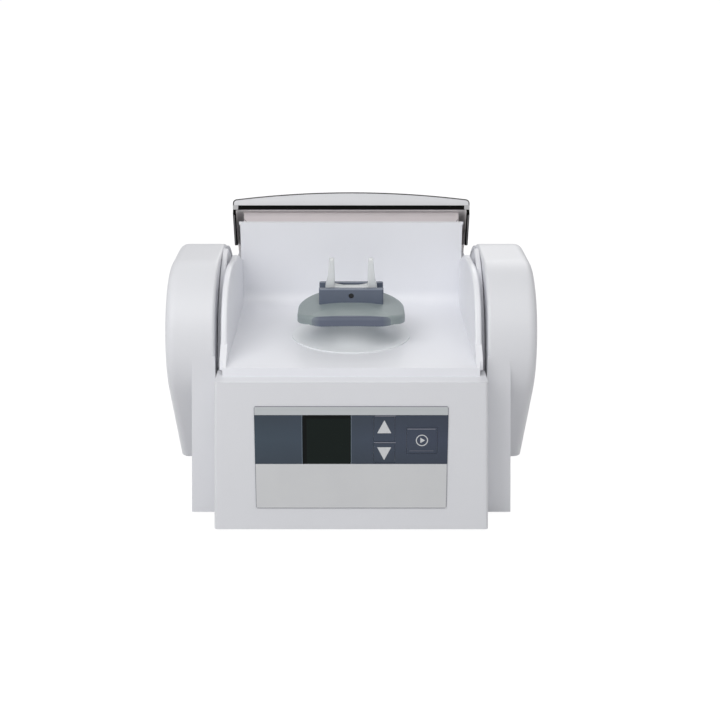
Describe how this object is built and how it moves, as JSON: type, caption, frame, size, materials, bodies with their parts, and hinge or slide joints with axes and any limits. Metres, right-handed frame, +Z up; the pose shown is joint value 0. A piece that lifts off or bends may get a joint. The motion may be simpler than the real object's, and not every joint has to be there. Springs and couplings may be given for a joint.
{
  "type": "amalgamator",
  "caption": "Benchtop capsule mixer: a fork on a shaking arm in an open-topped chamber, a visor lid, a sloping keypad front and rounded side drums.",
  "frame": {"origin": "middle of the bounding box at the underside of the rubber feet", "axes": "+X to the machine's right hand side seen from the front, +Y to its back, +Z up; the keypad faces -Y"},
  "size_m": [0.28, 0.2716, 0.2179],
  "materials": {
    "white_cover": "white moulded plastic, fine satin gloss",
    "chamber_white": "white moulded plastic",
    "base_grey": "grey powder coat",
    "steel": "bare sheet steel",
    "bright_steel": "bright steel",
    "alloy": "machined alloy",
    "rubber": "black rubber",
    "seal": "black elastomer strip",
    "disc_white": "soft white elastomer",
    "label": "printed film",
    "key_grey": "printed film over keys",
    "window": "dark display window",
    "display": "display cell",
    "board": "green circuit board",
    "dark_parts": "dark moulded plastic",
    "copper": "wound copper and laminations",
    "shield_blue": "slate blue-grey moulded plastic",
    "holder_clear": "translucent white plastic",
    "black_plastic": "black moulded plastic"
  },
  "bodies": {
    "base": {"base_plate": "base_grey", "rubber_feet": "rubber", "base_screws": "bright_steel", "front_cover": "white_cover", "left_housing": "white_cover", "right_housing": "white_cover", "chamber_liner": "chamber_white", "arm_seal_disc": "disc_white", "rear_cover": "white_cover", "right_side_frame": "chamber_white", "left_side_frame": "chamber_white", "right_lid_pivot": "bright_steel", "left_lid_pivot": "bright_steel", "lid_stops": "rubber", "lid_switch": "dark_parts", "keypad_overlay": "label", "display_window": "window", "display_module": "display", "control_board": "board", "key_switches": "dark_parts", "drive_bracket": "steel", "rubber_isolators": "rubber", "shaft_bearings": "bright_steel", "motor_can": "steel", "motor_stator": "copper", "anti_rotation_spring": "bright_steel", "power_board": "board", "board_components": "dark_parts", "mains_inlet": "black_plastic", "inlet_pins": "bright_steel", "inlet_screws": "bright_steel", "power_switch_frame": "black_plastic"},
    "lid_body": {"lid": "white_cover", "lid_seal": "seal", "right_lid_bush": "dark_parts", "left_lid_bush": "dark_parts"},
    "rotor": {"rotor_core": "steel", "drive_shaft": "bright_steel", "wobble_sleeve": "alloy", "wobble_inner_ring": "bright_steel", "counterweights": "steel", "cooling_fan": "black_plastic"},
    "arm": {"shaking_arm": "alloy", "wobble_outer_ring": "bright_steel", "arm_shield": "shield_blue", "holder_head": "shield_blue", "head_screw": "black_plastic", "capsule_holder": "holder_clear", "holder_screw": "bright_steel"},
    "up_key": {"key_up": "key_grey"},
    "down_key": {"key_down": "key_grey"},
    "start_key": {"key_start": "key_grey"},
    "rocker": {"power_rocker": "black_plastic"}
  },
  "joints": [
    {"name": "lid_hinge", "type": "hinge", "parent": "base", "child": "lid_body", "pos_m": [0, 0.0048, 0.094], "axis": [1, 0, 0], "range_deg": [0, 108.1]},
    {"name": "shaft_spin", "type": "hinge", "parent": "base", "child": "rotor", "pos_m": [0, -0.0372, 0.082], "axis": [1, 0, 0], "continuous": true},
    {"name": "arm_rock", "type": "hinge", "parent": "base", "child": "arm", "pos_m": [0, -0.0372, 0.082], "axis": [0, 1, 0], "range_deg": [-5, 5], "stiffness_Nm_per_rad": 4},
    {"name": "up_key_press", "type": "slide", "parent": "base", "child": "up_key", "axis": [0, 0.9995, -0.0307], "range_m": [0, 0.0004], "stiffness_N_per_m": 2000},
    {"name": "down_key_press", "type": "slide", "parent": "base", "child": "down_key", "axis": [0, 0.9995, -0.0307], "range_m": [0, 0.0004], "stiffness_N_per_m": 2000},
    {"name": "start_key_press", "type": "slide", "parent": "base", "child": "start_key", "axis": [0, 0.9995, -0.0307], "range_m": [0, 0.0004], "stiffness_N_per_m": 2000},
    {"name": "power_rocker_tilt", "type": "hinge", "parent": "base", "child": "rocker", "pos_m": [0.12167, 0.0688, 0.02092], "axis": [-0.0384, 0, 0.9993], "range_deg": [0, 16]}
  ]
}
